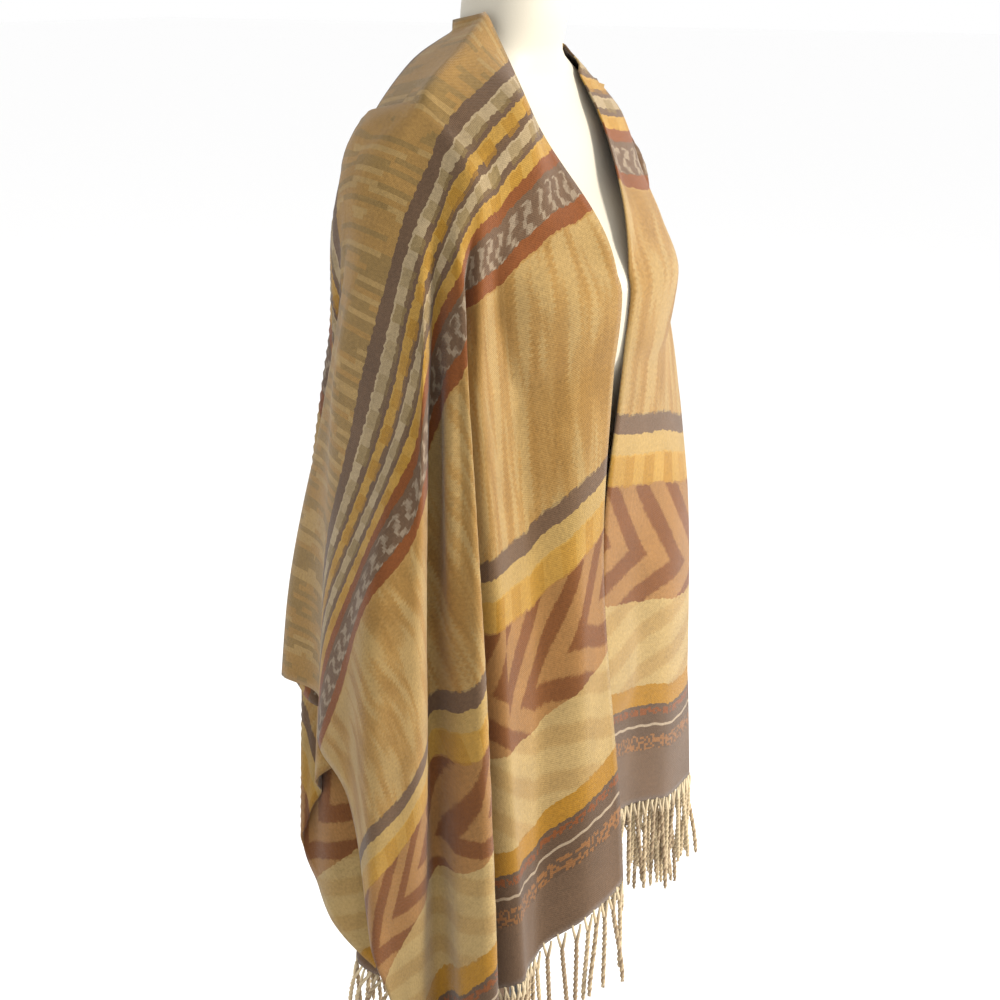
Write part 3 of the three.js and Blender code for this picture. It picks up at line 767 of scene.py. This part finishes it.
# %% The finished cloth
def cloth_material():
    shade = Shade("woven_cloth")
    places = flat_places(shade)
    s, t, e, h, p = places
    colour = ground_bands(shade, p)
    for weave in (camel_streaks, upper_dashes, checks, flames, nested_corners, border):
        colour = weave(shade, colour, *places)
    heather = shade.noise(shade.pack(s * 1400.0, t * 900.0), 1.0, 2.0, 0.6)
    blotch = shade.noise(shade.pack(s * 30.0, t * 22.0, 5.0), 1.0, 3.0, 0.5)
    mottle = shade.noise(shade.pack(s * 330.0, t * 260.0, 7.0), 1.0, 2.0, 0.6)
    colour = shade.tint(colour, 0.12 + heather * 0.12 + mottle * 0.26 + blotch * 0.16)
    ribs = ((s + t) / 0.0022 * 2 * math.pi).wave() * 0.5
    twill = ribs + ((s - t * 0.2) / 0.0013 * 2 * math.pi).wave() * 0.3
    nap = shade.noise(shade.node("TexCoord", None, None, out=3), 900.0, 3.0, 0.7)
    normal = shade.bump(twill * 0.5 + nap, 0.0007, 0.6)
    return shade.surface(colour, 0.88 + heather * 0.08, normal,
                         Sheen_Weight=0.25, Sheen_Roughness=0.45, Specular_IOR_Level=0.18)


cloth_finish = cloth_material()
print("cloth nodes:", len(cloth_finish.node_tree.nodes))

# %% [markdown]
# ## The cloth as one sheet
# Both halves are grids over the flat cloth, carried to their draped places. Behind the slit they
# are one cloth, so they share that row of points. In front the slit keeps them apart. Solidify
# then gives the thin sheet its two faces, equally on both sides of the middle.

# %% Grids of the two halves
CELL = 0.008
us = np.linspace(0, HALF_WIDTH, round(HALF_WIDTH / CELL) + 1)
back_v = np.linspace(-BACK_LENGTH, 0, round(BACK_LENGTH / CELL) + 1)
front_v = np.linspace(0, FRONT_LENGTH, round(FRONT_LENGTH / CELL) + 1)[1:]
vs = np.concatenate([back_v, front_v])
flat_u, flat_v = np.meshgrid(us, vs, indexing="ij")
right = cloth_points(1, flat_u, flat_v)
left = cloth_points(-1, flat_u, flat_v)
joined = len(back_v)
middle = (right[0, :joined] + left[0, :joined]) / 2
middle[:, 0] = 0
middle = clear_form(middle, REST_GAP + NECK_EASE["extra"])
right[0, :joined] = middle
left[0, :joined] = middle
print("points of a half:", len(us), "by", len(vs), "of which shared:", joined)

# %% One mesh with its flat map
count = right[..., 0].size
right_faces = grid_faces(len(us), len(vs))
left_faces = right_faces[:, ::-1].copy()
left_faces = np.where(left_faces < joined, left_faces, left_faces + count - joined)
points = np.vstack([right.reshape(-1, 3), left.reshape(-1, 3)[joined:]])
flat = np.vstack([np.stack([flat_u, flat_v], -1).reshape(-1, 2),
                  np.stack([-flat_u, flat_v], -1).reshape(-1, 2)[joined:]])
cloth = make_piece("ruana_cloth", points, np.vstack([right_faces, left_faces]), cloth_finish,
                   ["right_front_panel", "left_front_panel", "back_panel"])
write_uv(cloth.data, "flat", (flat - [0, MIDDLE_V]) / 2 + 0.5)
wall = cloth.modifiers.new("wall", "SOLIDIFY")
wall.thickness = CLOTH_WALL
wall.offset = 0

# %% [markdown]
# ## The form and its stand
# A display form is a padded body covered in plain jersey, on a black metal pole with a round
# plate. The body is its own rings joined into a tube, and each metal piece is a profile carried
# round the upright axis. Blender's Screw modifier could turn them too, but here the closed ends
# come from the same function as the body's.

# %% Rings and closed tubes
def body_of_rings(levels, around):
    """Rings of the form at the given levels: x = half width * c * k, y = middle + depth * s * k,
    with c and s the cosine and sine of the way round and k what makes the ring square."""
    angle = np.linspace(0, 2 * np.pi, around, endpoint=False)[None]
    half, front, back, mid, n = [size[:, None] for size in ring_at(levels)]
    c, s = np.cos(angle), np.sin(angle)
    k = (np.abs(c) ** n + np.abs(s) ** n) ** (-1 / n)
    height = np.broadcast_to(levels[:, None], (len(levels), around))
    return np.stack([half * c * k, mid + np.where(s < 0, front, back) * s * k, height], -1)


def closed_rings(rings):
    """A tube of rings closed by a fan at each end: points and faces, faces outward."""
    rows, around = rings.shape[:2]
    points = np.vstack([rings.reshape(-1, 3), rings[0].mean(0), rings[-1].mean(0)])
    faces = [tuple(f) for f in grid_faces(rows, around, wrap=True)]
    low, top = rows * around, (rows - 1) * around
    k = np.arange(around)
    following = (k + 1) % around
    faces += [(low, b, a) for a, b in zip(k, following)]
    faces += [(low + 1, top + a, top + b) for a, b in zip(k, following)]
    return points, faces


print("points of one ring:", body_of_rings(np.array([1.0]), 96).shape[1])

# %% [markdown]
# ## Jersey and black metal
# The jersey is warm white with a fine weave, and the metal is black and a little glossy under a
# clear coat. Both read Object coordinates: neither pattern has to follow the surface.

# %% Finishes of the form and the stand
def form_material():
    shade = Shade("form_cover")
    place = shade.node("TexCoord", None, None, out=3)
    weave = shade.noise(place, 700.0, 2.0, 0.6)
    broad = shade.noise(place, 6.0, 2.0, 0.5)
    colour = shade.tint(rgb(190, 183, 167), 0.97 + broad * 0.05)
    return shade.surface(colour, 0.5 + weave * 0.1, shade.bump(weave, 0.0003, 0.3),
                         Sheen_Weight=0.1, Specular_IOR_Level=0.4)


def metal_material():
    shade = Shade("stand_metal")
    place = shade.node("TexCoord", None, None, out=3)
    grain = shade.noise(place, 300.0, 2.0, 0.6)
    return shade.surface(shade.tint(rgb(28, 27, 26), 0.9 + grain * 0.2), 0.32 + grain * 0.16,
                         shade.bump(grain, 0.0002, 0.3), Coat_Weight=0.3)


form_finish, metal_finish = form_material(), metal_material()
print("finishes:", form_finish.name, metal_finish.name)

# %% [markdown]
# ## The padded body
# The lowest ring is drawn in a little, so that the body's lower edge is eased and not sharp.

# %% The body
EDGE_HEIGHT, EDGE_EASE = 0.004, 0.975
levels = np.linspace(FORM_BOTTOM + EDGE_HEIGHT, NECK_TOP, 130)
rings = body_of_rings(np.concatenate([[FORM_BOTTOM], levels]), 96)
rings[0, :, :2] *= EDGE_EASE
form_points, form_faces = closed_rings(rings)
make_piece("form_body", form_points, form_faces, form_finish, ["dress_form"])

# %% [markdown]
# ## Cap, collar, pole and plate
# Their sizes are read from the packed model's own boxes, so they stay in step with it. The cap
# and the plate have the same small rounding on their upper edge.

# %% Turned pieces
POLE_RADIUS, COLLAR_RADIUS, COLLAR_ROUND = 0.011, 0.021, 0.0015
FOOT, EDGE, EDGE_MIDDLE = 0.001, 0.004, 0.0012


def turned(name, profile, around, node):
    """A profile of (radius, height) carried round the upright axis through the origin."""
    radius, height = np.array(profile).T
    angle = np.linspace(0, 2 * np.pi, around, endpoint=False)
    rings = np.stack([radius[:, None] * np.cos(angle), radius[:, None] * np.sin(angle),
                      np.broadcast_to(height[:, None], (len(radius), around))], -1)
    points, faces = closed_rings(rings)
    return make_piece(name, points, faces, metal_finish, [node])


def disc_profile(radius, low, high):
    """A flat disc with a small foot below and a rounded edge above."""
    return [(radius - FOOT, low), (radius, low + FOOT), (radius, high - EDGE),
            (radius - EDGE_MIDDLE, high - EDGE_MIDDLE), (radius - EDGE, high)]


(_, _, cap_low), (cap_radius, _, cap_high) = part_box("neck_cap")
(_, _, socket_low), (_, _, socket_high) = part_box("pole_socket")
(_, _, pole_low), (_, _, pole_high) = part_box("pole")
base_radius, _, base_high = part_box("base_plate")[1]
turned("neck_cap_disc", disc_profile(cap_radius, cap_low, cap_high), 72, "neck_cap")
turned("socket_collar", [(COLLAR_RADIUS - COLLAR_ROUND, socket_low),
                         (COLLAR_RADIUS, socket_low + COLLAR_ROUND),
                         (COLLAR_RADIUS, socket_high)], 48, "pole_socket")
turned("stand_pole", [(POLE_RADIUS, pole_low), (POLE_RADIUS, pole_high)], 40, "pole")
turned("stand_base", disc_profile(base_radius, 0.0, base_high), 96, "base_plate")

# %% [markdown]
# ## The fringe
# The warp ends are left long at both hems and twisted in pairs. A hair system could carry them,
# but a few hundred real strands are light enough as meshes, and each can have its own length,
# lean and colour. First comes the line that a strand hangs along.

# %% Lines of the strands
STRAND_ROWS = 34
SHORTEST, LONGEST = 0.88, 0.98
TURN_DOWN = 0.07
SWAY = 0.10


def hem_frames(u, sign):
    """At each place of a hem: the edge, the way out along the cloth and the way across it."""
    side = np.where(u >= 0, 1, -1)
    size = np.abs(u)

    def at(v, over=0.0):
        right, left = (cloth_points(k, size + over, np.full(size.shape, v)) for k in (1, -1))
        return np.where((side > 0)[:, None], right, left)

    hem = FRONT_LENGTH if sign > 0 else -BACK_LENGTH
    edge, inside = at(hem), at(hem - sign * 0.02)
    out = edge - inside
    out /= np.linalg.norm(out, axis=1, keepdims=True)
    across = at(hem, 0.004) - edge
    across /= np.linalg.norm(across, axis=1, keepdims=True)
    return edge, out, across


def strand_lines(edge, out, seed):
    """A strand leaves the hem along the cloth, turns down over its first 7 cm and leans its own
    way. Its line is the running sum of its heading, step by step."""
    random = np.random.default_rng(seed)
    number = len(edge)
    length = FRINGE * random.uniform(SHORTEST, LONGEST, number)
    share = np.linspace(0, 1, STRAND_ROWS)
    s = share[None] * length[:, None]
    fall = ease(s, 0.0, TURN_DOWN)[..., None]
    way = random.normal(0, 1, (number, 2))
    lean = np.stack([way[:, 0], way[:, 1], np.zeros(number)], -1) * SWAY
    sway = lean[:, None] * np.sin(share * 3.0)[None, :, None]
    heading = (1 - fall) * out[:, None] + fall * np.array([0, 0, -1.0]) + sway
    heading /= np.linalg.norm(heading, axis=2, keepdims=True)
    step = (length / (STRAND_ROWS - 1))[:, None, None]
    run = np.cumsum((heading[:, 1:] + heading[:, :-1]) / 2 * step, 1)
    line = edge[:, None] + np.concatenate([np.zeros((number, 1, 3)), run], 1)
    return line, heading, s, length


print("strand lengths:", round(FRINGE * SHORTEST, 3), "to", round(FRINGE * LONGEST, 3), "m")

# %% [markdown]
# ## Two plies to a strand
# Two yarns twist round each line. They start apart in the hem, close up, and then turn once
# every 13 mm. Each yarn is a thin six-sided tube, thinner at its end.

# %% Plies and tubes
PLY_OFF, PLY_SPREAD = 0.0011, 0.0030
LAY = 0.013
YARN_RADIUS = 0.00175


def twisted_plies(line, heading, across, s):
    """Ply k lies a(s) off the line at the angle turn(s) + k * pi, in the plane square to it."""
    flat_across = across[:, None] - heading * (across[:, None] * heading).sum(2, keepdims=True)
    flat_across /= np.linalg.norm(flat_across, axis=2, keepdims=True) + 1e-9
    third = np.cross(heading, flat_across)
    off = (PLY_OFF + PLY_SPREAD * (1 - ease(s, 0.0, 0.018)))[..., None]
    start = 2 * np.pi * ease(s, 0.012, 0.03) * 0.5
    plies = []
    for k in (0, 1):
        turn = start + 2 * np.pi * np.maximum(s - 0.016, 0) / LAY + k * np.pi
        c, w = np.cos(turn)[..., None], np.sin(turn)[..., None]
        plies.append(line + off * (c * flat_across + w * third))
    return np.stack(plies, 1)


def tubes(lines, radius, sides=6):
    """A closed tube round each line: rings in the plane square to the line's own direction."""
    count, rows = lines.shape[:2]
    along = np.gradient(lines, axis=1)
    along /= np.linalg.norm(along, axis=2, keepdims=True) + 1e-12
    a = np.cross(along, np.array([0.31, 0.95, 0.02]))
    a /= np.linalg.norm(a, axis=2, keepdims=True)
    b = np.cross(along, a)
    angle = np.linspace(0, 2 * np.pi, sides, endpoint=False)
    c, w = np.cos(angle)[:, None], np.sin(angle)[:, None]
    rings = lines[:, :, None] + radius[:, :, None, None] * (c * a[:, :, None] + w * b[:, :, None])
    starts = (np.arange(count) * rows * sides)[:, None, None]
    faces = (grid_faces(rows, sides, wrap=True)[None] + starts).reshape(-1, 4).tolist()
    low = np.arange(sides)[::-1]
    top = (rows - 1) * sides + np.arange(sides)
    caps = [(ring + start).tolist() for start in starts.ravel() for ring in (low, top)]
    return rings.reshape(-1, 3), faces + caps


print("turns of a full strand:", round(FRINGE / LAY, 1))

# %% [markdown]
# ## The fringe's yarn
# A strand is cream or taupe by chance, as the warp it comes from, and paler at its root. Its
# chance and the distance down it are stored on the mesh as a small UV map of their own.

# %% Yarn of the fringe
def fringe_material():
    shade = Shade("fringe_yarn")
    tone = shade.node("SeparateXYZ", None, {0: shade.node("UVMap", {"uv_map": "tone"})}, out=None)
    luck = Field(shade, tone.outputs[0])
    down = Field(shade, tone.outputs[1])
    colour = shade.mix(rgb(192, 172, 138), rgb(126, 104, 80), luck.soft(0.25, 0.9) * 0.85)
    colour = shade.mix(colour, rgb(206, 190, 158), (1.0 - down.soft(0.02, 0.2)) * 0.7)
    fibre = shade.noise(shade.node("TexCoord", None, None, out=3), 1500.0, 3.0, 0.7)
    colour = shade.tint(colour, 0.8 + fibre * 0.35)
    return shade.surface(colour, 0.92, shade.bump(fibre, 0.0005, 0.6),
                         Sheen_Weight=0.25, Specular_IOR_Level=0.15)


fringe_finish = fringe_material()
print("fringe nodes:", len(fringe_finish.node_tree.nodes))

# %% [markdown]
# ## Three fringes
# The two front hems and the back hem each have a fringe, with a strand every 13.5 mm.

# %% Fringes on the hems
SPACING = 0.0135
TONE_SEED = 50


def make_fringe(name, u, sign, node, seed):
    """Strands at the places u of a hem: sign 1 is the front hem, -1 the back hem."""
    edge, out, across = hem_frames(u, sign)
    line, heading, s, length = strand_lines(edge, out, seed)
    number, rows = line.shape[:2]
    lines = twisted_plies(line, heading, across, s).reshape(number * 2, rows, 3)
    share = np.repeat(s / length[:, None], 2, axis=0)
    slim = (1 - 0.35 * ease(share, 0.9, 1.0)) * (0.75 + 0.25 * ease(share, 0.0, 0.12))
    points, faces = tubes(lines, YARN_RADIUS * slim)
    piece = make_piece(name, points, faces, fringe_finish, [node])
    random = np.random.default_rng(seed + TONE_SEED)
    luck = np.repeat(random.uniform(0, 1, number), 2) * 0.7 + np.tile([0.0, 0.3], number)
    tone = np.stack([np.broadcast_to(luck[:, None, None], (number * 2, rows, 6)),
                     np.broadcast_to(share[:, :, None], (number * 2, rows, 6))], -1)
    write_uv(piece.data, "tone", tone)
    return piece


half_stations = np.arange(SPACING / 2, HALF_WIDTH, SPACING)
whole_stations = np.concatenate([-half_stations[::-1], half_stations])
right_fringe = make_fringe("right_front_strands", half_stations, 1, "right_front_fringe", 11)
left_fringe = make_fringe("left_front_strands", -half_stations, 1, "left_front_fringe", 12)
back_fringe = make_fringe("back_strands", whole_stations, -1, "back_fringe", 13)

# The sheet is about a quarter smaller than that: the drape holds less cloth than was cut.

# %% The sheet
print("flat area:", round(4 * HALF_WIDTH * HALF_LENGTH, 3), "m2")

# %% [markdown]
# ## Floor and studio
# A pale floor, a white room and two soft lamps: a warm one from the front and a weak cool one
# from the side. An even white room alone would leave the folds flat.

# %% Floor and room
FLOOR = 40
floor_mesh = bpy.data.meshes.new("floor")
floor_corners = [(-FLOOR, -FLOOR, 0), (FLOOR, -FLOOR, 0), (FLOOR, FLOOR, 0), (-FLOOR, FLOOR, 0)]
floor_mesh.from_pydata(floor_corners, [], [(0, 1, 2, 3)])
floor = bpy.data.objects.new("floor", floor_mesh)
bpy.context.collection.objects.link(floor)
floor_shade = Shade("pale_floor")
floor_mesh.materials.append(floor_shade.surface(rgb(253, 253, 253), 0.9, Specular_IOR_Level=0.1))

world = bpy.data.worlds.new("studio")
bpy.context.scene.world = world
world.use_nodes = True
world.node_tree.nodes["Background"].inputs[0].default_value = (1, 1, 1, 1)
world.node_tree.nodes["Background"].inputs[1].default_value = 1.0
bpy.context.scene.view_settings.view_transform = "Standard"
print("floor:", 2 * FLOOR, "m wide")


# %% Lamps
def area_light(name, place, size, power, colour):
    """A square lamp that looks at the middle of the form."""
    data = bpy.data.lights.new(name, "AREA")
    data.size, data.energy, data.color = size, power, colour
    light = bpy.data.objects.new(name, data)
    light.location = place
    way = np.array([0, 0, 1.0]) - np.array(place)
    light.rotation_euler = (math.acos(-way[2] / np.linalg.norm(way)), 0,
                            math.atan2(way[1], way[0]) - math.pi / 2)
    bpy.context.collection.objects.link(light)
    print(f"{name} lamp: {power} W")


area_light("key", (0.9, -2.7, 2.4), 0.6, 150, (1.0, 0.96, 0.89))
area_light("fill", (-2.6, 0.2, 1.6), 2.0, 4, (0.95, 0.97, 1.0))

# %% [markdown]
# ## The camera
# It stands near the form's right shoulder, close to, and looks down a little.

# %% Camera
AZIMUTH, PITCH = math.radians(-57), math.radians(16.08)
DISTANCE, EYE = 1.615, 1.494
camera_data = bpy.data.cameras.new("camera")
camera_data.sensor_width = 36
camera_data.lens = camera_data.sensor_width * 1.645
camera_data.shift_x, camera_data.shift_y = -0.019, -0.055
camera = bpy.data.objects.new("camera", camera_data)
camera.location = (DISTANCE * math.sin(AZIMUTH), -DISTANCE * math.cos(AZIMUTH), EYE)
camera.rotation_euler = (math.pi / 2 - PITCH, 0, AZIMUTH)
bpy.context.collection.objects.link(camera)
bpy.context.scene.camera = camera
print("lens:", round(camera_data.lens, 1), "mm")

# %% [markdown]
# ## Close
